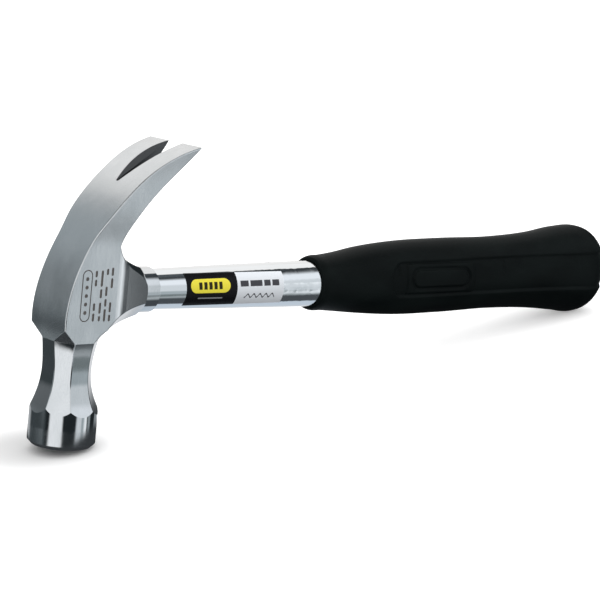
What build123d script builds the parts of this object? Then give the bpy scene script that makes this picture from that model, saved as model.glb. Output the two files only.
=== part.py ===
from build123d import *
import os
from math import degrees, sqrt

# Claw hammer with a forged head, a tapered steel tube shaft and a moulded grip.
# Working frame: the shaft axis is X (towards the butt), the head axis is Z
# (towards the claws), Y is across. The two axes cross at the origin.
# Each finished piece is stood on its striking face and butt when it is written.

os.makedirs("parts", exist_ok=True)

# ---------------------------------------------------------------- dimensions, mm
FACE_R = 14.25          # striking face and poll, 28.5 diameter
FACE_Z = -64.3          # plane of the striking face
FACE_CHAMFER = 1.7
POLL_TOP_Z = -56.0      # the round poll runs into the octagonal neck above this
CREASE_Z = -19.5        # neck facets meet the cheeks here
CHEEK_HALF = 12.3       # flat cheeks, 24.6 across
EDGE_ROUND = 0.6        # hand-ground edges of the head
CLAW_UNDER_ROUND = 0.4
EYE_TOP_ROUND = 0.5

CLAW_TIP = (46.0, 62.9)
CLAW_TIP_INNER = (45.3, 61.7)
SLOT_ROOT = (17.3, 46.2)
SLOT_ROOT_HALF = 0.6
SLOT_HALF = 4.7         # half-width of the nail slot at the tips
SLOT_TAPER = 1.5        # lean of its lower sides, degrees
SLOT_BEVEL = 43.0       # lean of its upper sides, degrees

CROOK = (13.2, 20.6)    # deepest point of the curve under the claws
FLARE_START = 20.6      # the claws widen above this height
CREASE_FRONT = (-10.6, CREASE_Z)
CREASE_BACK = (11.95, CREASE_Z)
CREASE_BACK_REACH = (11.95 + 4.15) / sqrt(2)
CORNER_INNER = (-10.6, -4.1, CREASE_Z)
CORNER_OUTER = (-5.9, -CHEEK_HALF, CREASE_Z)
CORNER_APEX = (-11.2, -CHEEK_HALF, -14.0)

CROOK_REACH = (CROOK[1] + CHEEK_HALF) / sqrt(2)
CROOK_ACROSS = (CROOK[1] - CHEEK_HALF) / sqrt(2)
EYE_HALF = 9.8          # across-flats half size of the eye where it meets the nose
NOSE_R = 9.75           # round nose of the eye, next to the shaft
NOSE_START = 31.0
NOSE_END = 37.8
SOCKET_END = -4.0       # blind end of the shaft socket, inside the head

TUBE_TIP_R = 8.6        # swaged end held in the socket
TUBE_BUTT_R = 10.6
TUBE_WALL = 1.6
TUBE_END = 300.0
SWAGE_START = 38.0
SWAGE_END = 150.0

GRIP_START = 128.0
GRIP_END = 317.0
MOUTH_ROUND = 1.6
PANEL_DEPTH = 0.8
PANEL_START = 168.0
PANEL_LOW = -5.2
PANEL_HIGH = 11.8

STOPPER_FLANGE = 3.0
STANCE_GUESS = 8.9      # slope of the shaft when the hammer stands, degrees
HEEL_TO_BUTT = 295.0

DOWEL_END = 72.0
WEDGE_LENGTH = 16.0
WEDGE_HALF = 1.6
PLUG_LENGTH = 12.0

LABEL_THICK = 0.12
LABEL_DARK = (52.4, 79.7)
LABEL_LIGHT = (79.7, 105.8)
LABEL_HEIGHT = 13.8
LABEL_MIDDLE = 0.45

STAMP_DEPTH = 0.25      # plain marks struck into one cheek
STAMP_LINE = 0.45
STAMP_FRAME_MIDDLE = (-2.4, 0.55)
STAMP_FRAME_LONG = 21.6
STAMP_FRAME_WIDE = 5.0
STAMP_DOT_R = 0.8
STAMP_DOT_PITCH = 3.5
STAMP_BAR_WIDE = 1.1


# ---------------------------------------------------------------- head outline
# Neck sections: height, then four corners of one half (x, y), front to back.
NECK_SECTIONS = [
    (-56.0, (-17.0, 7.0), (-7.0, 17.0), (7.0, 17.0), (17.0, 7.0)),
    (-50.4, (-14.4, 6.1), (-6.0, 14.4), (5.9, 14.4), (14.4, 5.9)),
    (-43.0, (-11.4, 5.2), (-5.1, 11.2), (4.6, 11.2), (11.1, 4.6)),
    (-34.0, (-9.65, 4.6), (-4.8, 10.0), (3.8, 10.0), (9.45, 4.15)),
    (-26.0, (-9.95, 4.4), (-5.2, 10.7), (3.6, 10.7), (10.2, 4.15)),
    (CREASE_Z, (-10.6, 4.1), (-5.9, CHEEK_HALF), (3.8, CHEEK_HALF), (11.95, 4.15)),
]

with BuildPart() as neck:
    for height, front, front_side, back_side, back in NECK_SECTIONS:
        half = [front, front_side, back_side, back]
        mirrored = [(x, -y) for x, y in reversed(half)]
        with BuildSketch(Plane.XY.offset(height)):
            Polygon(*(half + mirrored), align=None)
    loft()
    with BuildSketch(Plane.XY.offset(POLL_TOP_Z)):
        Circle(FACE_R)
    extrude(amount=CREASE_Z - POLL_TOP_Z, mode=Mode.INTERSECT)

with BuildPart() as poll:
    with BuildSketch(Plane.XY.offset(FACE_Z)):
        Circle(FACE_R)
    extrude(amount=POLL_TOP_Z - FACE_Z)
    chamfer(poll.edges().group_by(Axis.Z)[0], FACE_CHAMFER)

# Crown: cheeks, claws and the octagonal taper of the eye, as one side profile.
with BuildPart() as crown:
    with BuildSketch(Plane.XZ.offset(-22)):
        with BuildLine():
            Spline(CLAW_TIP, (27.4, 54.5), (10.5, 39.3), (-6.2, 13.0), (-11.5, -8.5), CREASE_FRONT)
            Line(CREASE_FRONT, CREASE_BACK)
            Spline(CREASE_BACK, (17.2, -14.6), (24.0, -11.8), (NOSE_START, -EYE_HALF))
            Line((NOSE_START, -EYE_HALF), (NOSE_START, EYE_HALF))
            Spline((NOSE_START, EYE_HALF), (23.4, 12.2), (17.8, 14.6))
            TangentArc((17.8, 14.6), CROOK, tangent=(-0.87, 0.5))
            Spline(CROOK, (17.1, 29.6), (25.7, 41.3), (38.4, 53.9), CLAW_TIP_INNER)
            Line(CLAW_TIP_INNER, CLAW_TIP)
        make_face()
    extrude(amount=44)
    with BuildSketch(Plane.YZ.offset(-20)):
        with BuildLine():
            flare = [(CHEEK_HALF, FLARE_START), (14.1, 31), (15.8, 51), (18.6, 64)]
            Spline(*flare, tangents=[(0, 1), (0.3, 1)])
            Line(flare[-1], (-18.6, 64))
            Spline(*[(-y, z) for y, z in reversed(flare)], tangents=[(0.3, -1), (0, -1)])
            Polyline((-CHEEK_HALF, FLARE_START), (-CHEEK_HALF, CREASE_Z), (CHEEK_HALF, CREASE_Z), flare[0])
        make_face()
    extrude(amount=70, mode=Mode.INTERSECT)

# Planes of the corner flats: each sketch y (or x) points squarely out of a flat.
neck_diagonal = Plane(origin=(0, 0, 0), x_dir=(1, -1, 0), z_dir=(-1, -1, 0))
eye_low_diagonal = Plane(origin=(0, 0, 0), x_dir=(1, 0, 0), z_dir=(0, 1, -1))
eye_top_diagonal = Plane(origin=(0, 0, 0), x_dir=(1, 0, 0), z_dir=(0, -1, -1))

with BuildPart() as eye_sides:
    with BuildSketch(Plane.XY.offset(-30)):
        with BuildLine():
            Polyline((CROOK[0], CHEEK_HALF), (CROOK[0], 30), (60, 30), (60, EYE_HALF), (NOSE_START, EYE_HALF))
            Line((NOSE_START, EYE_HALF), (19.0, 11.55))
            Spline((19.0, 11.55), (CROOK[0], CHEEK_HALF), tangents=[(-1, 0.138), (-1, 0.05)])
        make_face()
    extrude(amount=30 + CROOK[1])
    mirror(about=Plane.XZ)

with BuildPart() as throat_corner:
    with BuildSketch(neck_diagonal.offset(-30)):
        with BuildLine():
            crease = (CREASE_BACK_REACH, CREASE_Z)
            Spline(crease, (13.1, -17.0), (18.4, -12.7), (26.0, -10.4), (36.0, -9.0))
            Polyline((36.0, -9.0), (60, -9.0), (60, CREASE_Z - 1), (CREASE_BACK_REACH, CREASE_Z - 1), crease)
        make_face()
    extrude(amount=60)
    mirror(about=Plane.XZ)

with BuildPart() as eye_low_corner:
    with BuildSketch(eye_low_diagonal.offset(-30)):
        with BuildLine():
            Spline((2.0, 26.6), (9.5, 19.3), (16.3, 14.4), (24.4, 11.3), (NOSE_START, EYE_HALF))
            Polyline((NOSE_START, EYE_HALF), (60, EYE_HALF), (60, 60), (2.0, 60), (2.0, 26.6))
        make_face()
    extrude(amount=60)
    mirror(about=Plane.XZ)

with BuildPart() as eye_top_corner:
    with BuildSketch(eye_top_diagonal.offset(-CROOK_ACROSS)):
        with BuildLine():
            Spline((CROOK[0], CROOK_REACH), (16.0, 19.0), (24.0, 14.3), (NOSE_START, EYE_HALF))
            Polyline((NOSE_START, EYE_HALF), (60, EYE_HALF), (60, CROOK_REACH), (CROOK[0], CROOK_REACH))
        make_face()
    extrude(amount=2 * CROOK_ACROSS)
    mirror(about=Plane.XZ)

# Small steep flats at the two lower front corners of the cheeks.
front_corner = Plane(
    origin=CORNER_INNER,
    x_dir=Vector(*CORNER_OUTER) - Vector(*CORNER_INNER),
    z_dir=(Vector(*CORNER_OUTER) - Vector(*CORNER_INNER)).cross(Vector(*CORNER_APEX) - Vector(*CORNER_INNER)),
)
with BuildPart() as front_corners:
    with BuildSketch(front_corner):
        Rectangle(60, 60)
    extrude(amount=20 if front_corner.z_dir.X < 0 else -20)
    mirror(about=Plane.XZ)

# Nail slot: straight sides below the chord of the claws, bevelled sides above it.
claw_chord = Plane(
    origin=(SLOT_ROOT[0], 0, SLOT_ROOT[1]),
    x_dir=(CLAW_TIP[0] - SLOT_ROOT[0], 0, CLAW_TIP[1] - SLOT_ROOT[1]),
    z_dir=(SLOT_ROOT[1] - CLAW_TIP[1], 0, CLAW_TIP[0] - SLOT_ROOT[0]),
)
chord_length = sqrt((CLAW_TIP[0] - SLOT_ROOT[0]) ** 2 + (CLAW_TIP[1] - SLOT_ROOT[1]) ** 2)
slot_rate = (SLOT_HALF - SLOT_ROOT_HALF) / chord_length
slot_reach = chord_length + 12
slot_far_half = SLOT_ROOT_HALF + slot_rate * slot_reach

with BuildPart() as nail_slot:
    with BuildSketch(claw_chord) as slot_outline:
        Polygon(
            (0, -SLOT_ROOT_HALF),
            (slot_reach, -slot_far_half),
            (slot_reach, slot_far_half),
            (0, SLOT_ROOT_HALF),
            align=None,
        )
    extrude(amount=-20, taper=SLOT_TAPER)
    extrude(slot_outline.sketch, amount=7, taper=-SLOT_BEVEL)

# Bevel that rounds the corners of the eye down to the nose.
with BuildPart() as nose_bevel:
    with BuildSketch(Plane.XZ):
        Polygon((NOSE_START + 0.05, NOSE_R), (28.5, NOSE_R + 2.55), (28.5, 16), (33, 16), (33, NOSE_R), align=None)
    revolve(axis=Axis.X)

with BuildPart() as nose:
    with BuildSketch(Plane.YZ):
        Circle(NOSE_R)
    extrude(amount=NOSE_END)
    chamfer(nose.edges().group_by(Axis.X)[-1], 0.3)

# Corners of the ground facets on one side: x, distance from the middle plane, z.
POLL_FRONT = (-13.1, 5.7, -47.4)
POLL_FRONT_SIDE = (-5.6, 13.1, -47.8)
POLL_BACK_SIDE = (5.4, 13.2, -48.0)
POLL_BACK = (13.2, 5.4, -48.0)
CREASE_FRONT_CORNER = (-10.6, 4.1, CREASE_Z)
CREASE_FRONT_SIDE = (-5.9, CHEEK_HALF, CREASE_Z)
CREASE_BACK_SIDE = (3.8, CHEEK_HALF, CREASE_Z)
CREASE_BACK_CORNER = (11.95, 4.15, CREASE_Z)
CHEEK_APEX = (-11.4, CHEEK_HALF, -13.8)
CHEEK_BACK = (-2.5, CHEEK_HALF, FLARE_START)
CHEEK_LOW = (10.0, CHEEK_HALF, -14.4)
EYE_LOW_START = (13.2, CHEEK_HALF, -10.8)
EYE_LOW_MIDDLE = (19.0, 11.55, -7.0)
EYE_LOW_END = (30.0, 9.95, -4.2)
THROAT_MIDDLE = (20.4, 4.7, -13.1)
THROAT_END = (29.9, 4.0, -10.1)
EYE_TOP_START = (CROOK[0], CHEEK_HALF, CROOK[1])
EYE_TOP_MIDDLE = (19.0, 11.55, 12.2)
EYE_TOP_END = (28.9, 10.1, 6.3)
TIP_OUTSIDE = (46.0, 18.3, 62.9)
TIP_OUTSIDE_LOW = (45.3, 17.9, 61.7)

FACET_EDGES = [
    (POLL_FRONT, CREASE_FRONT_CORNER),
    (POLL_FRONT_SIDE, CREASE_FRONT_SIDE),
    (POLL_BACK_SIDE, CREASE_BACK_SIDE),
    (POLL_BACK, CREASE_BACK_CORNER),
    (CREASE_FRONT_SIDE, CHEEK_APEX),
    (CHEEK_APEX, CREASE_FRONT_CORNER),
    (CHEEK_APEX, CHEEK_BACK),
    (CHEEK_BACK, TIP_OUTSIDE),
    (CREASE_BACK_CORNER, THROAT_MIDDLE),
    (THROAT_MIDDLE, THROAT_END),
    (CREASE_BACK_SIDE, CHEEK_LOW),
    (CHEEK_LOW, EYE_LOW_START),
    (EYE_LOW_START, EYE_LOW_MIDDLE),
    (EYE_LOW_MIDDLE, EYE_LOW_END),
]
CLAW_UNDER_EDGES = [(EYE_TOP_START, TIP_OUTSIDE_LOW)]
EYE_TOP_EDGES = [(EYE_TOP_START, EYE_TOP_MIDDLE), (EYE_TOP_MIDDLE, EYE_TOP_END)]


# Struck bars: place of each row across the cheek, then the low and high end of its bars.
STAMP_ROWS = [
    (1.9, [(-10.2, -6.8), (-5.8, -2.6), (4.4, 7.2), (8.2, 10.9)]),
    (4.9, [(-10.2, -8.0), (-7.0, -2.4), (-0.6, 3.2), (4.2, 11.0)]),
    (7.5, [(-10.4, -5.2), (-4.2, -1.0), (0.2, 4.2), (9.0, 11.6)]),
    (10.0, [(-10.4, -7.6), (-6.6, -2.4), (3.4, 7.6), (8.6, 12.0)]),
]

with BuildPart() as stamp:
    with BuildSketch(Plane.XZ.offset(CHEEK_HALF)):
        with Locations(STAMP_FRAME_MIDDLE):
            SlotOverall(STAMP_FRAME_LONG, STAMP_FRAME_WIDE, rotation=90)
            inner_long = STAMP_FRAME_LONG - 2 * STAMP_LINE
            inner_wide = STAMP_FRAME_WIDE - 2 * STAMP_LINE
            SlotOverall(inner_long, inner_wide, rotation=90, mode=Mode.SUBTRACT)
            with GridLocations(0, STAMP_DOT_PITCH, 1, 5):
                Circle(STAMP_DOT_R)
        for across, bars in STAMP_ROWS:
            for low, high in bars:
                with Locations((across, (low + high) / 2)):
                    SlotOverall(high - low, STAMP_BAR_WIDE, rotation=90)
    extrude(amount=-STAMP_DEPTH)


def at_corner(point, corner):
    folded = Vector(point.X, abs(point.Y), point.Z)
    return (folded - Vector(*corner)).length < 0.6


def joins(edge, routes):
    """Whether the edge runs between the two corners of any of the routes."""
    start = edge @ 0
    end = edge @ 1
    for a, b in routes:
        if at_corner(start, a) and at_corner(end, b):
            return True
        if at_corner(start, b) and at_corner(end, a):
            return True
    return False


with BuildPart() as head:
    add(crown.part)
    add(eye_sides.part, mode=Mode.SUBTRACT)
    add(throat_corner.part, mode=Mode.SUBTRACT)
    add(eye_low_corner.part, mode=Mode.SUBTRACT)
    add(eye_top_corner.part, mode=Mode.SUBTRACT)
    add(front_corners.part, mode=Mode.SUBTRACT)
    add(nose_bevel.part, mode=Mode.SUBTRACT)
    add(nail_slot.part, mode=Mode.SUBTRACT)
    add(neck.part)
    add(poll.part)
    add(nose.part)
    with BuildSketch(Plane.YZ.offset(SOCKET_END)):
        Circle(TUBE_TIP_R)
    extrude(amount=60, mode=Mode.SUBTRACT)
    fillet(head.edges().filter_by(lambda e: joins(e, FACET_EDGES)), EDGE_ROUND)
    fillet(head.edges().filter_by(lambda e: joins(e, CLAW_UNDER_EDGES)), CLAW_UNDER_ROUND)
    fillet(head.edges().filter_by(lambda e: joins(e, EYE_TOP_EDGES)), EYE_TOP_ROUND)
    add(stamp.part, mode=Mode.SUBTRACT)

# ---------------------------------------------------------------- shaft and what it holds
# Outside of the tube: distance along the shaft and radius, over the swaged stretch.
SWAGE = [(SWAGE_START, TUBE_TIP_R), (75.0, 9.45), (110.0, 10.1), (SWAGE_END, TUBE_BUTT_R)]


def inset(points, depth):
    return [(x, r - depth) for x, r in points]


with BuildPart() as tube_outside:
    with BuildSketch(Plane.XZ):
        with BuildLine():
            Polyline((SOCKET_END, 0), (SOCKET_END, TUBE_TIP_R), (SWAGE_START, TUBE_TIP_R))
            Spline(*SWAGE, tangents=[(1, 0.02), (1, 0)])
            Polyline((SWAGE_END, TUBE_BUTT_R), (TUBE_END, TUBE_BUTT_R), (TUBE_END, 0), (SOCKET_END, 0))
        make_face()
    revolve(axis=Axis.X)

with BuildPart() as tube_bore:
    with BuildSketch(Plane.XZ):
        with BuildLine():
            tip = TUBE_TIP_R - TUBE_WALL
            butt = TUBE_BUTT_R - TUBE_WALL
            Polyline((SOCKET_END, 0), (SOCKET_END, tip), (SWAGE_START, tip))
            Spline(*inset(SWAGE, TUBE_WALL), tangents=[(1, 0.02), (1, 0)])
            Polyline((SWAGE_END, butt), (TUBE_END, butt), (TUBE_END, 0), (SOCKET_END, 0))
        make_face()
    revolve(axis=Axis.X)

with BuildPart() as shaft_tube:
    add(tube_outside.part)
    add(tube_bore.part, mode=Mode.SUBTRACT)

# Hardwood core driven into the head end of the tube, split by a steel wedge.
with BuildPart() as locking_wedge:
    with BuildSketch(Plane.XY):
        Polygon(
            (SOCKET_END, -WEDGE_HALF),
            (SOCKET_END + WEDGE_LENGTH, -0.3),
            (SOCKET_END + WEDGE_LENGTH, 0.3),
            (SOCKET_END, WEDGE_HALF),
            align=None,
        )
    extrude(amount=5.5, both=True)

with BuildPart() as core_dowel:
    with BuildSketch(Plane.YZ.offset(SOCKET_END)):
        Circle(TUBE_TIP_R - TUBE_WALL)
    extrude(amount=DOWEL_END - SOCKET_END)
    chamfer(core_dowel.edges().group_by(Axis.X)[-1], 1.0)
    add(locking_wedge.part, mode=Mode.SUBTRACT)

# Moulded stopper that closes the butt end of the tube, with a flange over its rim.
with BuildPart() as end_stopper:
    with BuildSketch(Plane.YZ.offset(TUBE_END - PLUG_LENGTH)):
        Circle(TUBE_BUTT_R - TUBE_WALL)
    extrude(amount=PLUG_LENGTH)
    with BuildSketch(Plane.YZ.offset(TUBE_END)):
        Circle(TUBE_BUTT_R)
    extrude(amount=STOPPER_FLANGE)

# ---------------------------------------------------------------- grip
# Sections of the grip: distance, half height, half width, height of the centre.
GRIP_SECTIONS = [
    (GRIP_START, 12.1, 12.1, 0.2),
    (142.0, 13.3, 13.0, 0.4),
    (158.0, 15.4, 14.0, 1.0),
    (180.0, 17.2, 14.9, 1.4),
    (210.0, 17.7, 15.2, 1.9),
    (245.0, 17.5, 15.0, 2.5),
    (272.0, 18.9, 15.8, 3.1),
    (290.0, 21.0, 17.2, 3.6),
    (303.0, 21.8, 17.9, 3.2),
    (312.0, 18.6, 15.4, 3.1),
    (GRIP_END, 12.6, 10.4, 3.1),
]


def grip_body(depth):
    with BuildPart() as body:
        for x, half_height, half_width, centre in GRIP_SECTIONS:
            with BuildSketch(Plane(origin=(x, 0, centre), x_dir=(0, 1, 0), z_dir=(1, 0, 0))):
                Ellipse(half_width - depth, half_height - depth)
        loft()
    return body.part


grip_core = grip_body(PANEL_DEPTH)

# Recessed side panels: a long field with a rounded front end, on both sides.
with BuildPart() as side_panels:
    with BuildSketch(Plane.XZ):
        with BuildLine():
            Polyline((350, 15.2), (PANEL_START + 9, PANEL_HIGH - 1.4))
            Spline((PANEL_START + 9, PANEL_HIGH - 1.4), (PANEL_START, 3.4), (PANEL_START + 9, PANEL_LOW))
            Polyline((PANEL_START + 9, PANEL_LOW), (350, -3.4), (350, 15.2))
        make_face()
    extrude(amount=25)
    mirror(about=Plane.XZ)
    add(grip_core, mode=Mode.SUBTRACT)

with BuildPart() as grip:
    add(grip_body(0))
    fillet(grip.edges().group_by(Axis.X)[-1], 3.0)
    fillet(grip.edges().group_by(Axis.X)[0], MOUTH_ROUND)
    add(side_panels.part, mode=Mode.SUBTRACT)
    add(tube_outside.part, mode=Mode.SUBTRACT)
    add(end_stopper.part, mode=Mode.SUBTRACT)

# ---------------------------------------------------------------- labels
def label_band(start, end):
    with BuildPart() as band:
        with BuildSketch(Plane.XZ):
            with BuildLine():
                Spline(*inset(SWAGE, -LABEL_THICK), tangents=[(1, 0.02), (1, 0)])
                Polyline((SWAGE_END, TUBE_BUTT_R + LABEL_THICK), (SWAGE_END, 0), (SWAGE_START, 0))
                Line((SWAGE_START, 0), (SWAGE_START, TUBE_TIP_R + LABEL_THICK))
            make_face()
        revolve(axis=Axis.X)
        with BuildSketch(Plane.XZ):
            with Locations(((start + end) / 2, LABEL_MIDDLE)):
                Rectangle(end - start, LABEL_HEIGHT)
        extrude(amount=30, mode=Mode.INTERSECT)
        add(tube_outside.part, mode=Mode.SUBTRACT)
    return band.part


label_dark = label_band(*LABEL_DARK)
label_light = label_band(*LABEL_LIGHT)

# ---------------------------------------------------------------- standing and writing
# The hammer rests on the heel of the striking face and the low side of the butt.
# The origin ends up on the floor, under the middle of the whole hammer.
def turned_box(part, turn):
    return part.moved(Location((0, 0, 0), (0, turn, 0))).bounding_box()


turn = STANCE_GUESS
for _ in range(4):
    drop = turned_box(grip.part, turn).min.Z - turned_box(poll.part, turn).min.Z
    turn += degrees(drop / HEEL_TO_BUTT)

rear = turned_box(head.part, turn).min.X
front = turned_box(grip.part, turn).max.X
floor = turned_box(poll.part, turn).min.Z
stance = Location((-(rear + front) / 2, 0, -floor), (0, turn, 0))

pieces = {
    "head": head.part,
    "shaft_tube": shaft_tube.part,
    "core_dowel": core_dowel.part,
    "locking_wedge": locking_wedge.part,
    "end_stopper": end_stopper.part,
    "grip": grip.part,
    "label_dark": label_dark,
    "label_light": label_light,
}

for name, piece in pieces.items():
    with BuildPart() as stood:
        add(piece.moved(stance))
    stood.part.label = name
    export_step(stood.part, f"parts/{name}.step")
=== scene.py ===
import bpy
import bmesh
from math import ceil, cos, dist, hypot, pi, radians, sin
from mathutils import Matrix, Vector


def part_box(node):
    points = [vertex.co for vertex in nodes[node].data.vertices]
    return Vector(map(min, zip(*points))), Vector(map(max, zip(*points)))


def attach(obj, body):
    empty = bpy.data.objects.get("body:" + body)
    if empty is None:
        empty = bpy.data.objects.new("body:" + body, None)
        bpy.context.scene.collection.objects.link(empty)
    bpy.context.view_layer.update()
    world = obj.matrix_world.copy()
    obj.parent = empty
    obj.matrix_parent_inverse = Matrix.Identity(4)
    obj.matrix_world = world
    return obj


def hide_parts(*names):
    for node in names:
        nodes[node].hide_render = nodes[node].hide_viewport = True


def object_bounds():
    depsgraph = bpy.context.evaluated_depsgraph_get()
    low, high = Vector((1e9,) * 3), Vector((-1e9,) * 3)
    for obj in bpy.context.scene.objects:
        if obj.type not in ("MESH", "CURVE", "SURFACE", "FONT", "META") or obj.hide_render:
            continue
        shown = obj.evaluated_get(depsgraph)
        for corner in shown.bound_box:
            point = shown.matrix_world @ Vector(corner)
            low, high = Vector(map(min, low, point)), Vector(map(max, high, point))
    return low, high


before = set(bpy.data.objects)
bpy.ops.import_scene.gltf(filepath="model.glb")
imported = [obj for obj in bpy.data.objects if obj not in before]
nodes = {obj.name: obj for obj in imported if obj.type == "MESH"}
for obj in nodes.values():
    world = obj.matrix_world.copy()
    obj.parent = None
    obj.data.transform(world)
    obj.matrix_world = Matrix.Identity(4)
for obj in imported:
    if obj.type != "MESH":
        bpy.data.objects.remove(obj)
cad_low, cad_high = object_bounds()
MM = 0.001

# ---------------------------------------------------------------- the hammer's own axes
# Shaft frame: x along the shaft towards the butt, z along the head towards the claws.
# It is tilted by the slope of the shaft, and its origin follows from the tube's butt end.
SHAFT_SLOPE = radians(8.9318)
TUBE_LENGTH = 300 * MM
TUBE_R = 10.6 * MM

tube_low, tube_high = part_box("shaft_tube")
origin = Vector((
    tube_high.x - TUBE_LENGTH * cos(SHAFT_SLOPE) - TUBE_R * sin(SHAFT_SLOPE),
    0.0,
    tube_low.z + TUBE_LENGTH * sin(SHAFT_SLOPE) + TUBE_R * cos(SHAFT_SLOPE),
))
stance = Matrix.Translation(origin) @ Matrix.Rotation(SHAFT_SLOPE, 4, "Y")


# ---------------------------------------------------------------- node trees
class Tree:
    """Short calls that build a node tree. A value is a number, a tuple or a socket."""

    def __init__(self, owner):
        owner.use_nodes = True
        self.tree = owner.node_tree
        self.tree.nodes.clear()

    def node(self, kind, values=(), **settings):
        made = self.tree.nodes.new(kind)
        for name, value in settings.items():
            setattr(made, name, value)
        for name, value in dict(values).items():
            self.feed(made.inputs[name], value)
        return made

    def feed(self, socket, value):
        if isinstance(value, bpy.types.NodeSocket):
            self.tree.links.new(value, socket)
        else:
            socket.default_value = value

    def math(self, operation, *values):
        made = self.node("ShaderNodeMath", operation=operation)
        for i, value in enumerate(values):
            self.feed(made.inputs[i], value)
        return made.outputs[0]

    def sum(self, *values):
        total = values[0]
        for value in values[1:]:
            total = self.math("ADD", total, value)
        return total

    def product(self, *values):
        total = values[0]
        for value in values[1:]:
            total = self.math("MULTIPLY", total, value)
        return total

    def highest(self, *values):
        top = values[0]
        for value in values[1:]:
            top = self.math("MAXIMUM", top, value)
        return top

    def ramp(self, value, start, end, low=0.0, high=1.0):
        """low before start, high after end, and smooth in between."""
        made = self.node("ShaderNodeMapRange", interpolation_type="SMOOTHSTEP")
        for name, given in (
            ("Value", value),
            ("From Min", start),
            ("From Max", end),
            ("To Min", low),
            ("To Max", high),
        ):
            self.feed(made.inputs[name], given)
        return made.outputs[0]

    def fall(self, value, start, end):
        """1 before start, 0 after end, and smooth in between."""
        return self.ramp(value, start, end, 1.0, 0.0)

    def within(self, value, low, high, soft):
        """1 between low and high, and 0 outside, over a soft edge."""
        rise = self.ramp(value, low - soft, low + soft)
        fall = self.fall(value, high - soft, high + soft)
        return self.product(rise, fall)

    def absolute(self, value):
        return self.math("ABSOLUTE", value)

    def parts(self, vector):
        """The three parts of a vector."""
        return self.node("ShaderNodeSeparateXYZ", {"Vector": vector}).outputs

    def length(self, vector):
        return self.node("ShaderNodeVectorMath", {0: vector}, operation="LENGTH").outputs["Value"]

    def mix(self, share, first, second):
        made = self.node("ShaderNodeMix", data_type="RGBA")
        self.feed(made.inputs["Factor"], share)
        self.feed(made.inputs["A"], first)
        self.feed(made.inputs["B"], second)
        return made.outputs["Result"]

    def noise(self, place, scale, detail, roughness):
        made = self.node(
            "ShaderNodeTexNoise",
            {"Vector": place, "Scale": scale, "Detail": detail, "Roughness": roughness},
        )
        return made.outputs["Fac"]

    def stretched(self, place, along):
        """place, scaled by its own factor along each axis."""
        made = self.node("ShaderNodeVectorMath", operation="MULTIPLY")
        self.feed(made.inputs[0], place)
        self.feed(made.inputs[1], along)
        return made.outputs[0]

    def bump(self, height, distance, strength):
        values = {"Strength": strength, "Distance": distance, "Height": height}
        return self.node("ShaderNodeBump", values).outputs["Normal"]

    def shaft_place(self):
        """Position in the shaft frame, in millimetres, and its three parts."""
        given = self.node("ShaderNodeTexCoord").outputs["Object"]
        turned = self.node("ShaderNodeMapping", {"Vector": given}, vector_type="TEXTURE")
        turned.inputs["Location"].default_value = origin
        turned.inputs["Rotation"].default_value = (0, SHAFT_SLOPE, 0)
        turned.inputs["Scale"].default_value = (MM, MM, MM)
        x, y, z = self.parts(turned.outputs[0])
        return turned.outputs[0], x, y, z

    def surface(self, **values):
        shader = self.node("ShaderNodeBsdfPrincipled")
        for name, value in values.items():
            self.feed(shader.inputs[name.replace("_", " ")], value)
        self.node("ShaderNodeOutputMaterial", {"Surface": shader.outputs[0]})


def grey(value):
    return (value, value, value, 1.0)


def material(name):
    made = bpy.data.materials.new(name)
    return made, Tree(made)


def paint(piece, made):
    piece.data.materials.clear()
    piece.data.materials.append(made)


# ---------------------------------------------------------------- metals and wood
# Lengths on the head, in millimetres in the shaft frame.
CREASE_Z = -19.5            # the neck is polished below this height
POLL_TOP_Z = -56.0          # the poll is turned below this height
CHEEK_HALF = 12.3           # half width over the cheeks
EYE_X = 14.5                # the eye is polished from here towards the shaft
EYE_TOP_Z = 18.0            # and up to this height
EYE_TOP_SOFT = 3.0
SLOT_Z = 32.0               # the nail slot lies above this height
SLOT_REACH = 9.0            # and within this distance of the middle plane
STAMP_LOW = (-5.2, -10.6)   # corners of the field of struck marks on the near cheek, x and z
STAMP_HIGH = (10.8, 12.3)
STRUCK_EDGE = (0.06, 0.2)   # depths over which a mark's tone sets in
STRUCK_FLOOR = (0.4, 0.6)   # what lies deeper than this is no mark

# Tones: linear red, green and blue, and alpha.
STEEL_DULL = (0.645, 0.66, 0.665, 1)
STEEL_BRIGHT = (0.725, 0.735, 0.74, 1)
STEEL_LINE = (0.55, 0.565, 0.575, 1)
OXIDE = (0.24, 0.215, 0.20, 1)
FORGING_SCALE_AND_SHADE = (0.13, 0.132, 0.135, 1)
CHROME_DULL = (0.78, 0.80, 0.81, 1)
CHROME_BRIGHT = (0.83, 0.84, 0.85, 1)
WOOD_DARK = (0.55, 0.38, 0.22, 1)
WOOD_LIGHT = (0.70, 0.53, 0.34, 1)
WOOD_PORE = (0.38, 0.25, 0.14, 1)
WEDGE_CLEAN = (0.40, 0.41, 0.42, 1)
WEDGE_SCALE = (0.22, 0.21, 0.20, 1)
STOPPER_DARK = (0.02, 0.02, 0.022, 1)
STOPPER_LIGHT = (0.035, 0.035, 0.037, 1)


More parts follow.
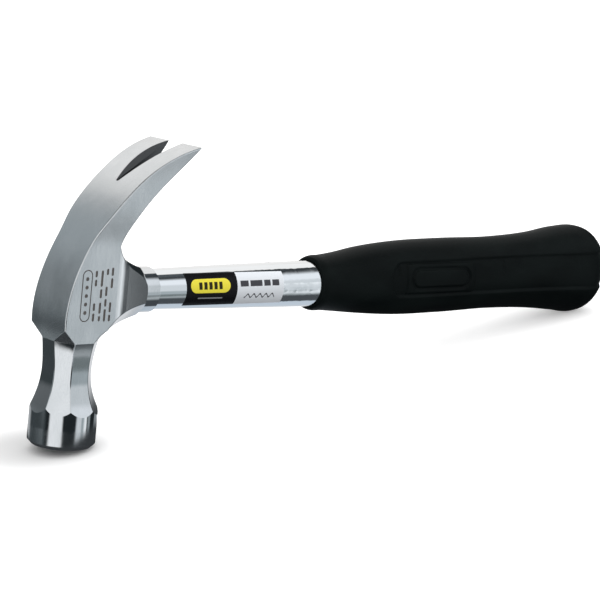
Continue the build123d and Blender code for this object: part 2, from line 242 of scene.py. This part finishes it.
def head_steel():
    """Forged steel: satin-ground claws and cheeks, a polished neck and a turned poll."""
    made, tree = material("head_steel")
    place, x, y, z = tree.shaft_place()

    polished = tree.highest(
        tree.fall(z, CREASE_Z - 0.3, CREASE_Z + 0.3),
        tree.product(
            tree.ramp(x, EYE_X - 0.8, EYE_X + 0.8),
            tree.fall(z, EYE_TOP_Z, EYE_TOP_Z + EYE_TOP_SOFT),
        ),
    )
    turned = tree.fall(z, POLL_TOP_Z - 0.6, POLL_TOP_Z + 0.6)
    belt = tree.noise(tree.stretched(place, (5.0, 5.0, 0.22)), 1.0, 4.0, 0.65)
    fine_belt = tree.noise(tree.stretched(place, (16.0, 16.0, 0.5)), 1.0, 2.0, 0.6)
    rings = tree.noise(tree.stretched(place, (0.05, 0.05, 9.0)), 1.0, 3.0, 0.6)
    cloud = tree.noise(tree.stretched(place, (0.09, 0.09, 0.05)), 1.0, 3.0, 0.5)

    lines = tree.sum(tree.product(belt, 0.6), tree.product(fine_belt, 0.4))
    ground = tree.mix(turned, lines, rings)
    satin = tree.sum(0.15, tree.product(cloud, 0.08), tree.product(lines, 0.10))
    gloss = tree.sum(0.03, tree.product(ground, 0.07), tree.product(turned, 0.09))
    roughness = tree.mix(polished, satin, gloss)

    # Oxide left in the struck marks.
    depth = tree.math("SUBTRACT", CHEEK_HALF, tree.absolute(y))
    struck = tree.product(
        tree.ramp(depth, *STRUCK_EDGE),
        tree.fall(y, 0.0, 0.1),
        tree.within(x, STAMP_LOW[0], STAMP_HIGH[0], 0.1),
        tree.within(z, STAMP_LOW[1], STAMP_HIGH[1], 0.1),
        tree.fall(depth, *STRUCK_FLOOR),
    )
    tone = tree.mix(tree.ramp(cloud, 0.3, 0.7), STEEL_DULL, STEEL_BRIGHT)
    tone = tree.mix(tree.product(tree.ramp(lines, 0.4, 0.62), 0.5), tone, STEEL_LINE)
    tone = tree.mix(struck, tone, OXIDE)
    roughness = tree.mix(struck, roughness, grey(0.62))

    # The walls of the nail slot face sideways. Their dark tone is partly their forging scale and partly
    # painted shade from the claws.
    facing = tree.parts(tree.node("ShaderNodeNewGeometry").outputs["True Normal"])
    slot = tree.product(
        tree.ramp(tree.absolute(facing[1]), 0.6, 0.75),
        tree.fall(tree.absolute(y), SLOT_REACH - 0.5, SLOT_REACH + 0.5),
        tree.ramp(z, SLOT_Z - 1.0, SLOT_Z + 1.0),
    )
    tone = tree.mix(slot, tone, FORGING_SCALE_AND_SHADE)
    roughness = tree.mix(slot, roughness, grey(0.48))

    strength = tree.mix(polished, grey(0.5), grey(0.12))
    tree.surface(
        Base_Color=tone,
        Metallic=1.0,
        Roughness=roughness,
        Normal=tree.bump(ground, 0.012 * MM, strength),
    )
    return made


def shaft_chrome():
    """Bright chrome on a drawn tube: nearly a mirror, with faint drawing lines and wipe marks."""
    made, tree = material("shaft_chrome")
    place = tree.shaft_place()[0]
    drawn = tree.noise(tree.stretched(place, (0.05, 3.0, 3.0)), 1.0, 3.0, 0.6)
    cloud = tree.noise(tree.stretched(place, (0.05, 0.12, 0.12)), 1.0, 2.0, 0.5)
    wipe = tree.noise(tree.stretched(place, (0.9, 7.0, 7.0)), 1.0, 3.0, 0.7)
    roughness = tree.sum(0.03, tree.product(tree.ramp(cloud, 0.35, 0.7), 0.04), tree.product(wipe, 0.03))
    tree.surface(
        Base_Color=tree.mix(cloud, CHROME_DULL, CHROME_BRIGHT),
        Metallic=1.0,
        Roughness=roughness,
        Normal=tree.bump(drawn, 0.002 * MM, 0.3),
    )
    return made


def dowel_wood():
    """Turned hardwood: growth rings along the dowel, fine pores."""
    made, tree = material("dowel_wood")
    place = tree.shaft_place()[0]
    grain = tree.noise(tree.stretched(place, (0.06, 0.9, 0.9)), 1.0, 4.0, 0.6)
    pores = tree.noise(tree.stretched(place, (0.4, 9.0, 9.0)), 1.0, 2.0, 0.5)
    tone = tree.mix(tree.ramp(grain, 0.35, 0.65), WOOD_DARK, WOOD_LIGHT)
    tone = tree.mix(tree.ramp(pores, 0.55, 0.7), tone, WOOD_PORE)
    tree.surface(
        Base_Color=tone,
        Roughness=tree.sum(0.5, tree.product(pores, 0.25)),
        Normal=tree.bump(pores, 0.05 * MM, 0.5),
    )
    return made


def wedge_steel():
    """Mild steel strip with mill scale."""
    made, tree = material("wedge_steel")
    place = tree.shaft_place()[0]
    scale = tree.noise(place, 0.8, 4.0, 0.6)
    tree.surface(
        Base_Color=tree.mix(tree.ramp(scale, 0.4, 0.65), WEDGE_CLEAN, WEDGE_SCALE),
        Metallic=1.0,
        Roughness=tree.sum(0.35, tree.product(scale, 0.3)),
        Normal=tree.bump(scale, 0.03 * MM, 0.5),
    )
    return made


def stopper_plastic():
    """Black polypropylene with a fine moulded texture."""
    made, tree = material("stopper_plastic")
    place = tree.shaft_place()[0]
    grain = tree.noise(place, 3.0, 3.0, 0.6)
    tree.surface(
        Base_Color=tree.mix(grain, STOPPER_DARK, STOPPER_LIGHT),
        Roughness=tree.sum(0.4, tree.product(grain, 0.2)),
        Normal=tree.bump(grain, 0.03 * MM, 0.4),
    )
    return made


# ---------------------------------------------------------------- labels
# Distances along the shaft and heights round the tube, in millimetres.
LABEL_R = 9.7                   # radius that turns an angle round the tube into a height
PRINT_SOFT = 0.08               # soft edge of the printed rectangles
FIELD_MIDDLE = (65.2, 2.45)     # yellow field on the dark label
FIELD_HALF = 7.4                # half length of its straight sides
FIELD_END_R = (3.15, 3.35)      # it fades out between these distances from its middle line
BAR_PITCH = 2.7                 # spacing of the equal bars in it
BAR_ROW = BAR_PITCH * 2.5       # half length of the row of five
BAR_HALF_WIDTH = (0.80, 0.96)   # a bar fades out between these distances
BAR_HALF_HEIGHT = (1.6, 1.76)
RULE_LOW = (58.9, -3.55)        # corners of the grey rule
RULE_HIGH = (72.1, -2.95)
LIGHT_BARS = [                  # corners of the bars on the light label
    ((81.4, 1.6), (85.9, 4.2)),
    ((86.9, 1.6), (93.6, 4.2)),
    ((94.6, 1.6), (98.2, 4.2)),
    ((99.2, 1.6), (103.1, 4.2)),
]
WAVE_LENGTH = 3.4               # wavy line on the light label
WAVE_HEIGHT = 0.8
WAVE_MIDDLE = -2.6
WAVE_SPAN = (84.0, 101.0)
WAVE_HALF = (0.28, 0.42)        # the line fades out between these distances

FILM_BLACK = (0.004, 0.004, 0.005, 1)
FILM_CHARCOAL = (0.008, 0.008, 0.010, 1)
FILM_GREY = (0.81, 0.85, 0.90, 1)
FILM_WHITE = (0.86, 0.90, 0.95, 1)
YELLOW = (0.93, 0.82, 0.075, 1)
BAR_BLACK = (0.03, 0.028, 0.01, 1)
RULE_GREY = (0.30, 0.31, 0.33, 1)
INK = (0.06, 0.06, 0.07, 1)


def label_place(tree):
    """Distance along the shaft, and the height round the tube in millimetres from its near side."""
    place, x, y, z = tree.shaft_place()
    turn = tree.math("ARCTAN2", z, tree.math("MULTIPLY", y, -1.0))
    return place, x, tree.math("MULTIPLY", turn, LABEL_R)


def patch(tree, x, h, low, high):
    """A rectangle on the label, from its low corner to its high one."""
    along = tree.within(x, low[0], high[0], PRINT_SOFT)
    around = tree.within(h, low[1], high[1], PRINT_SOFT)
    return tree.product(along, around)


def film(tree, tone, fibre, roughness, shine):
    """A glossy printed film with a faint fibrous surface."""
    tree.surface(
        Base_Color=tone,
        Roughness=tree.sum(roughness, tree.product(fibre, 0.12)),
        Specular_IOR_Level=shine,
        Normal=tree.bump(fibre, 0.01 * MM, 0.3),
    )


def label_dark():
    """Black gloss film with a plain yellow field, a row of equal bars in it and a thin grey rule."""
    made, tree = material("label_dark")
    place, x, h = label_place(tree)
    # The field has round ends: distance to a short middle line.
    beside = tree.math("SUBTRACT", x, FIELD_MIDDLE[0])
    end = tree.math("SUBTRACT", tree.absolute(beside), FIELD_HALF)
    end = tree.math("MAXIMUM", end, 0.0)
    rise = tree.math("SUBTRACT", h, FIELD_MIDDLE[1])
    reach = tree.math("SQRT", tree.sum(tree.product(end, end), tree.product(rise, rise)))
    field = tree.fall(reach, *FIELD_END_R)
    pitch = tree.absolute(tree.math("WRAP", beside, BAR_PITCH / 2, -BAR_PITCH / 2))
    bar = tree.product(
        tree.fall(pitch, *BAR_HALF_WIDTH),
        tree.fall(tree.absolute(rise), *BAR_HALF_HEIGHT),
        tree.fall(tree.absolute(beside), BAR_ROW - 0.1, BAR_ROW + 0.1),
    )
    rule = patch(tree, x, h, RULE_LOW, RULE_HIGH)
    fibre = tree.noise(place, 2.0, 3.0, 0.6)
    tone = tree.mix(fibre, FILM_BLACK, FILM_CHARCOAL)
    tone = tree.mix(field, tone, YELLOW)
    tone = tree.mix(bar, tone, BAR_BLACK)
    tone = tree.mix(rule, tone, RULE_GREY)
    film(tree, tone, fibre, 0.22, 0.09)
    return made


def label_light():
    """White gloss film with plain grey bars and a wavy line."""
    made, tree = material("label_light")
    place, x, h = label_place(tree)
    wave = tree.product(tree.math("SINE", tree.product(x, 2 * pi / WAVE_LENGTH)), WAVE_HEIGHT)
    off = tree.absolute(tree.math("SUBTRACT", h, tree.sum(wave, WAVE_MIDDLE)))
    line = tree.product(tree.fall(off, *WAVE_HALF), tree.within(x, *WAVE_SPAN, 0.1))
    ink = tree.highest(line, *[patch(tree, x, h, low, high) for low, high in LIGHT_BARS])
    fibre = tree.noise(place, 2.0, 3.0, 0.6)
    tone = tree.mix(fibre, FILM_GREY, FILM_WHITE)
    tone = tree.mix(ink, tone, INK)
    film(tree, tone, fibre, 0.3, 0.2)
    return made


# ---------------------------------------------------------------- grip
# Outline of the grip: distance, half height, half width and height of the centre, in millimetres.
GRIP_OUTLINE = [
    (128.0, 10.5, 10.5, 0.1),
    (128.12, 11.15, 11.15, 0.15),
    (128.55, 11.75, 11.75, 0.2),
    (129.4, 12.15, 12.12, 0.2),
    (135.0, 12.6, 12.5, 0.3),
    (142.0, 13.3, 13.0, 0.4),
    (158.0, 15.4, 14.0, 1.0),
    (180.0, 17.2, 14.9, 1.4),
    (210.0, 17.7, 15.2, 1.9),
    (245.0, 17.5, 15.0, 2.5),
    (272.0, 18.9, 15.8, 3.1),
    (290.0, 21.0, 17.2, 3.6),
    (303.0, 21.75, 17.85, 3.2),
    (309.0, 20.3, 16.7, 3.1),
    (313.3, 17.4, 14.3, 3.1),
    (315.8, 14.2, 11.6, 3.1),
    (316.9, 10.4, 8.6, 3.1),
    (317.0, 5.0, 4.0, 3.1),
    (317.0, 0.4, 0.3, 3.1),
]
BORE_R = 10.44          # clear of the tube inside the mouth
BORE_DEPTH = 8.0
BORE_LIP = 0.6          # depth of the ring just inside the mouth
AROUND = 256            # points round the grip
FINE_START = 158.0      # rows lie closer together over the side detail
FINE_END = 245.0
FINE_STEP = 0.4
SHORT_SPAN = 3.0        # and where the outline turns in short spans
SHORT_STEP = 0.25
PLAIN_STEP = 1.1

PANEL_START = 167.6     # the recessed field on each side
PANEL_NOSE = 8.6
PANEL_LOW = -5.6
PANEL_LOW_RISE = 0.010
PANEL_HIGH = 10.9
PANEL_HIGH_RISE = 0.020
PANEL_DEPTH = 1.1
PLATE_MIDDLE = (199.4, 3.1)
PLATE_HALF = (21.4, 6.9)
PLATE_HEIGHT = 0.6
OUTLINE_HALF = 18.4     # plain rounded outline sunk into the plate
OUTLINE_R = 4.7
OUTLINE_DEPTH = 0.8
NICKS = (173.0, 242.0, 253.4, 291.4, 293.8)     # short upright grooves high in the field
NICK_DEPTH = 0.3

RUBBER_DARK = (0.0030, 0.0048, 0.0048, 1)
RUBBER_RUBBED = (0.0050, 0.0078, 0.0076, 1)


def smooth(value, start, end):
    """0 at start, 1 at end, and smooth in between."""
    t = min(max((value - start) / (end - start), 0.0), 1.0)
    return t * t * (3 - 2 * t)


def rows_through(points):
    """Rows along a smooth curve through the points."""
    knots = [0.0]
    for a, b in zip(points, points[1:]):
        knots.append(knots[-1] + dist(a[:2], b[:2]))
    secants = []
    for i in range(len(points) - 1):
        span = knots[i + 1] - knots[i]
        secants.append([(q - p) / span for p, q in zip(points[i], points[i + 1])])
    slopes = [secants[0]]
    for i in range(1, len(points) - 1):
        before = knots[i] - knots[i - 1]
        after = knots[i + 1] - knots[i]
        pairs = zip(secants[i - 1], secants[i])
        slopes.append([(d * after + e * before) / (before + after) for d, e in pairs])
    slopes.append(secants[-1])

    rows = []
    for i in range(len(points) - 1):
        span = knots[i + 1] - knots[i]
        if FINE_START <= points[i][0] < FINE_END:
            step = FINE_STEP
        else:
            step = SHORT_STEP if span < SHORT_SPAN else PLAIN_STEP
        steps = ceil(span / step)
        for j in range(steps):
            t = j / steps
            from_a = 2 * t**3 - 3 * t**2 + 1
            lean_a = (t**3 - 2 * t**2 + t) * span
            lean_b = (t**3 - t**2) * span
            rows.append([
                p * from_a + m * lean_a + q * (1 - from_a) + n * lean_b
                for p, q, m, n in zip(points[i], points[i + 1], slopes[i], slopes[i + 1])
            ])
    rows.append(list(points[-1]))
    return rows


def sunk(x, z):
    """How far the moulded side detail lies below the grip's oval surface, in millimetres."""
    low = PANEL_LOW + (x - PANEL_START) * PANEL_LOW_RISE
    high = PANEL_HIGH + (x - PANEL_START) * PANEL_HIGH_RISE
    across = (2 * z - low - high) / (high - low)
    front = PANEL_START + PANEL_NOSE * (1 - max(0.0, 1 - across * across) ** 0.5)
    field = smooth(x, front - 0.2, front + 0.7)
    field *= smooth(z, low - 0.1, low + 0.7)
    field *= smooth(z, high + 0.1, high - 0.6)
    if field == 0:
        return 0.0
    dx = abs(x - PLATE_MIDDLE[0])
    dz = abs(z - PLATE_MIDDLE[1])
    plate = smooth(dx, PLATE_HALF[0] + 0.5, PLATE_HALF[0])
    plate *= smooth(dz, PLATE_HALF[1] + 0.4, PLATE_HALF[1])
    reach = hypot(max(dx - OUTLINE_HALF + OUTLINE_R, 0.0), dz)
    outline = smooth(abs(reach - OUTLINE_R), 1.05, 0.45)
    nick = max(smooth(abs(x - at), 0.8, 0.3) for at in NICKS)
    nick *= smooth(z, 4.0, 6.0)
    nick *= smooth(z, high - 1.0, high - 2.0)
    depth = PANEL_DEPTH - PLATE_HEIGHT * plate + OUTLINE_DEPTH * outline * plate + NICK_DEPTH * nick
    return field * depth


def build_grip():
    """The moulded grip: an oval sleeve with a rolled mouth, a flared butt and recessed side fields."""
    work = bmesh.new()
    rings = []
    for depth in (BORE_DEPTH, BORE_LIP):
        rings.append([
            work.verts.new((GRIP_OUTLINE[0][0] + depth, -BORE_R * cos(turn), BORE_R * sin(turn)))
            for turn in (2 * pi * i / AROUND for i in range(AROUND))
        ])
    for x, half_height, half_width, centre in rows_through(GRIP_OUTLINE):
        ring = []
        for i in range(AROUND):
            turn = 2 * pi * i / AROUND
            y = -half_width * cos(turn)
            z = centre + half_height * sin(turn)
            inset = sunk(x, z) if abs(cos(turn)) > 0.5 else 0.0
            if inset:
                out = Vector((y / half_width**2, (z - centre) / half_height**2)).normalized()
                y -= out.x * inset
                z -= out.y * inset
            ring.append(work.verts.new((x, y, z)))
        rings.append(ring)
    for a, b in zip(rings, rings[1:]):
        for i in range(AROUND):
            j = (i + 1) % AROUND
            work.faces.new((a[i], b[i], b[j], a[j]))
    work.faces.new(rings[-1])
    work.faces.new(list(reversed(rings[0])))
    bmesh.ops.recalc_face_normals(work, faces=work.faces)
    for face in work.faces:
        face.smooth = True
    work.transform(stance @ Matrix.Scale(MM, 4))
    mesh = bpy.data.meshes.new("grip_sleeve")
    work.to_mesh(mesh)
    work.free()
    piece = bpy.data.objects.new("grip_sleeve", mesh)
    bpy.context.scene.collection.objects.link(piece)
    return piece


def grip_rubber():
    """Black vinyl rubber: fine moulded grain and faint rubbed patches, with hardly any sheen."""
    made, tree = material("grip_rubber")
    place = tree.shaft_place()[0]
    grain = tree.noise(place, 2.6, 3.0, 0.6)
    rubbed = tree.noise(tree.stretched(place, (0.035, 0.09, 0.09)), 1.0, 3.0, 0.55)
    tone = tree.mix(tree.ramp(rubbed, 0.35, 0.7), RUBBER_DARK, RUBBER_RUBBED)
    tree.surface(
        Base_Color=tone,
        Roughness=tree.sum(0.38, tree.product(rubbed, 0.12), tree.product(grain, 0.08)),
        Specular_IOR_Level=0.06,
        Normal=tree.bump(grain, 0.035 * MM, 0.30),
    )
    return made


paint(nodes["head"], head_steel())
paint(nodes["shaft_tube"], shaft_chrome())
paint(nodes["core_dowel"], dowel_wood())
paint(nodes["locking_wedge"], wedge_steel())
paint(nodes["end_stopper"], stopper_plastic())
paint(nodes["label_dark"], label_dark())
paint(nodes["label_light"], label_light())

grip = build_grip()
paint(grip, grip_rubber())
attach(grip, "root")
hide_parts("grip")


# ---------------------------------------------------------------- floor
FLOOR_R = 6.0
FLOOR_FADE = (1.6, 4.5)     # it fades into the background between these distances
FLOOR_CLEAR = 0.05 * MM     # it lies just below the hammer's two resting points
FLOOR_LIFT = 0.34           # light it gives off by itself, away from the poll; none round the poll, which paints the contact shadow deeper
LIFT_REACH = (14 * MM, 56 * MM)
PAPER_PAINTED_SHADOW = 0.68         # painted shadow: its darker tone round the poll, and its tone elsewhere
PAPER_PLAIN = 0.92
# The painted shadow fades out between these distances from its darkest point.
TONE_REACH = (8 * MM, 42 * MM)
POLL_FACE_Z = -68.0         # height of the striking face in the shaft frame
SHADE_SHIFT = Vector((-10.7, 9.1, 0)) * MM      # from the striking face to the darkest point of the painted shadow on the paper

# Dark discs that show only in reflections, as painted shade for the shadowed floor under the hammer:
# middle, half sizes and share that is soft.
SHADE_TONE = (0.05, 0.055, 0.06, 1)
POLL_SHADE_HALF = (46 * MM, 46 * MM)
POLL_SHADE_SOFT = 0.35
GRIP_SHADE_MIDDLE = Vector((100 * MM, 0, 0))
GRIP_SHADE_HALF = (101 * MM, 60 * MM)
GRIP_SHADE_SOFT = 0.22

poll_foot = stance @ Vector((0, 0, POLL_FACE_Z * MM))


def build_disc(name, segments, radius, place):
    """A flat level disc."""
    work = bmesh.new()
    bmesh.ops.create_circle(work, cap_ends=True, segments=segments, radius=radius)
    mesh = bpy.data.meshes.new(name)
    work.to_mesh(mesh)
    work.free()
    disc = bpy.data.objects.new(name, mesh)
    disc.location = place
    bpy.context.scene.collection.objects.link(disc)
    return disc


def fade_out(tree, shown, start, end):
    """The shader shown, which turns clear between two distances from the object's middle."""
    place = tree.node("ShaderNodeTexCoord").outputs["Object"]
    fade = tree.node("ShaderNodeMixShader", {0: tree.ramp(tree.length(place), start, end)})
    tree.feed(fade.inputs[1], shown.outputs[0])
    tree.feed(fade.inputs[2], tree.node("ShaderNodeBsdfTransparent").outputs[0])
    tree.node("ShaderNodeOutputMaterial", {"Surface": fade.outputs[0]})


def floor_paper():
    """Pale paper with a painted contact shadow: darker round the poll."""
    made, tree = material("floor_paper")
    darkest = poll_foot + SHADE_SHIFT
    darkest.z = 0
    place = tree.node("ShaderNodeTexCoord").outputs["Object"]
    away = tree.node("ShaderNodeVectorMath", {0: place, 1: darkest}, operation="DISTANCE").outputs["Value"]
    # Painted shadow: the paper's tone is darker round the poll.
    tone = tree.mix(tree.ramp(away, *TONE_REACH), grey(PAPER_PAINTED_SHADOW), grey(PAPER_PLAIN))
    paper = tree.node("ShaderNodeBsdfDiffuse", {"Color": tone})
    # Painted shadow: no light of its own round the poll, so the shade there is deeper.
    strength = tree.ramp(away, *LIFT_REACH, 0.0, FLOOR_LIFT)
    lift = tree.node("ShaderNodeEmission", {"Strength": strength})
    lit = tree.node("ShaderNodeAddShader")
    tree.feed(lit.inputs[0], paper.outputs[0])
    tree.feed(lit.inputs[1], lift.outputs[0])
    fade_out(tree, lit, *FLOOR_FADE)
    return made


def build_floor():
    """A round pale floor, which isn't reflected and throws no light on the hammer."""
    floor = build_disc("floor", 96, FLOOR_R, (0, 0, cad_low.z - FLOOR_CLEAR))
    paint(floor, floor_paper())
    floor.visible_glossy = False
    floor.visible_diffuse = False


def build_shade(name, middle, half, soft):
    """A dark disc of painted shade for the shadowed floor close under the hammer, which shows only in
    reflections.
    """
    shade = build_disc(name, 64, 1.0, (middle[0], middle[1], cad_low.z - FLOOR_CLEAR / 2))
    shade.scale = (half[0], half[1], 1)
    made, tree = material(name)
    fade_out(tree, tree.node("ShaderNodeEmission", {"Color": SHADE_TONE}), 1.0 - soft, 1.0)
    paint(shade, made)
    shade.visible_camera = False
    shade.visible_diffuse = False
    shade.visible_shadow = False
    shade.visible_transmission = False


build_floor()
build_shade("poll_shade", poll_foot, POLL_SHADE_HALF, POLL_SHADE_SOFT)
build_shade("grip_shade", GRIP_SHADE_MIDDLE, GRIP_SHADE_HALF, GRIP_SHADE_SOFT)


# ---------------------------------------------------------------- studio
# Soft boxes and dark flags round the hammer, which show only in reflections. Each has its middle
# (azimuth from +Y towards +X, elevation), half sizes and soft edge in degrees, and its light. A
# later one lies over an earlier one.
DARK = (0.020, 0.025, 0.028, 1)
STUDIO = [
    ("left_fill", (-38, 4), (42, 36), 4, (0.43, 0.48, 0.51)),
    ("left_fill_gap", (-36, -20), (5, 50), 2, (0.05, 0.062, 0.066)),
    ("left_fill_top_gap", (-36, 22), (5, 16), 3, (0.15, 0.165, 0.175)),
    ("left_fill_split", (-40, -8), (46, 5), 2, (0.055, 0.066, 0.072)),
    ("front_right_box", (150.5, 10), (20.5, 47), 5, (0.72, 0.77, 0.81)),
    ("front_right_core", (158, 2), (10, 52), 5, (0.76, 0.81, 0.85)),
    ("neck_shade_low", (145.5, -28), (4, 7), 2.5, (0.20, 0.235, 0.245)),
    ("neck_shade_middle", (147, -16), (4, 7), 3.5, (0.40, 0.46, 0.49)),
    ("neck_light", (140, -43), (7, 7), 3, (0.36, 0.40, 0.42)),
    ("cheek_light", (134, -12), (5, 18), 2.5, (1.06, 1.11, 1.15)),
    ("front_right_top", (118, 27), (27, 10), 5, (0.95, 1.0, 1.06)),
    ("left_strip", (-121.5, 18), (22.5, 52), 4, (1.04, 1.07, 1.10)),
    ("left_high_box", (-90, 48), (14, 22), 4, (0.85, 0.87, 0.89)),
    ("front_high_box", (-167, 24), (24, 22), 3, (0.80, 0.83, 0.86)),
    ("front_low_box", (-167, -42), (24, 17), 3, (0.42, 0.46, 0.50)),
    ("right_low_box", (80, -14), (8, 20), 3, (0.30, 0.33, 0.35)),
    ("right_front_low_box", (118, -14), (6, 18), 3, (0.32, 0.36, 0.38)),
    ("back_box", (38, 50), (46, 25), 2.5, (1.05, 1.05, 1.05)),
    ("back_low_box", (30, 10), (24, 17), 3, (1.00, 0.99, 0.98)),
    ("top_flag", (101, 54), (15, 11), 4, (0.10, 0.115, 0.13)),
    ("top_box", (0, 90), (181, 13), 3, (1.00, 1.00, 1.00)),
    ("front_floor", (124, -54), (28, 13), 4, (0.075, 0.085, 0.095)),
    ("low_glow", (50, -58), (48, 18), 6, (0.60, 0.68, 0.77)),
    ("back_floor", (28, -28), (40, 14), 7, (0.80, 0.82, 0.85)),
]
BACKGROUND = 1.12       # what the camera sees behind the hammer
SKY_LOW = 0.30          # soft light on the floor, the labels and the rubber: from below
SKY_HIGH = 1.40         # and from above
SKY_EDGE = (radians(-8), radians(30))


def build_studio():
    """A world that reflections, soft light and the camera each see in their own way."""
    world = bpy.data.worlds.new("studio")
    bpy.context.scene.world = world
    tree = Tree(world)
    way = tree.parts(tree.node("ShaderNodeTexCoord").outputs["Generated"])
    azimuth = tree.math("ARCTAN2", way[0], way[1])
    elevation = tree.math("ARCSINE", way[2])
    light = DARK
    for _, middle, half, soft, colour in STUDIO:
        turn = tree.math("WRAP", tree.math("SUBTRACT", azimuth, radians(middle[0])), pi, -pi)
        rise = tree.math("SUBTRACT", elevation, radians(middle[1]))
        share = tree.product(
            tree.fall(tree.absolute(turn), radians(half[0] - soft), radians(half[0] + soft)),
            tree.fall(tree.absolute(rise), radians(half[1] - soft), radians(half[1] + soft)),
        )
        light = tree.mix(share, light, (*colour, 1))
    path = tree.node("ShaderNodeLightPath").outputs
    sky = tree.ramp(elevation, *SKY_EDGE, SKY_LOW, SKY_HIGH)
    light = tree.mix(path["Is Diffuse Ray"], light, sky)
    light = tree.mix(path["Is Camera Ray"], light, grey(BACKGROUND))
    shine = tree.node("ShaderNodeBackground", {"Color": light})
    tree.node("ShaderNodeOutputWorld", {"Surface": shine.outputs[0]})
    world.cycles.sampling_method = "NONE"


build_studio()
bpy.context.scene.view_settings.view_transform = "Standard"


# ---------------------------------------------------------------- camera
VIEW_AZIMUTH = radians(40.4152)
VIEW_ELEVATION = radians(15.2044)
VIEW_ROLL = radians(-1.03)
VIEW_LENS = 132
CAMERA_PLACE = Vector((-0.642265, -0.726557, 0.297977))


def build_camera():
    """The camera that the renders are made with."""
    data = bpy.data.cameras.new("camera")
    data.lens = VIEW_LENS
    camera = bpy.data.objects.new("camera", data)
    turn = Matrix.Rotation(-VIEW_AZIMUTH, 4, "Z") @ Matrix.Rotation(pi / 2 - VIEW_ELEVATION, 4, "X")
    camera.matrix_world = Matrix.Translation(CAMERA_PLACE) @ turn @ Matrix.Rotation(VIEW_ROLL, 4, "Z")
    bpy.context.scene.collection.objects.link(camera)
    bpy.context.scene.camera = camera


build_camera()
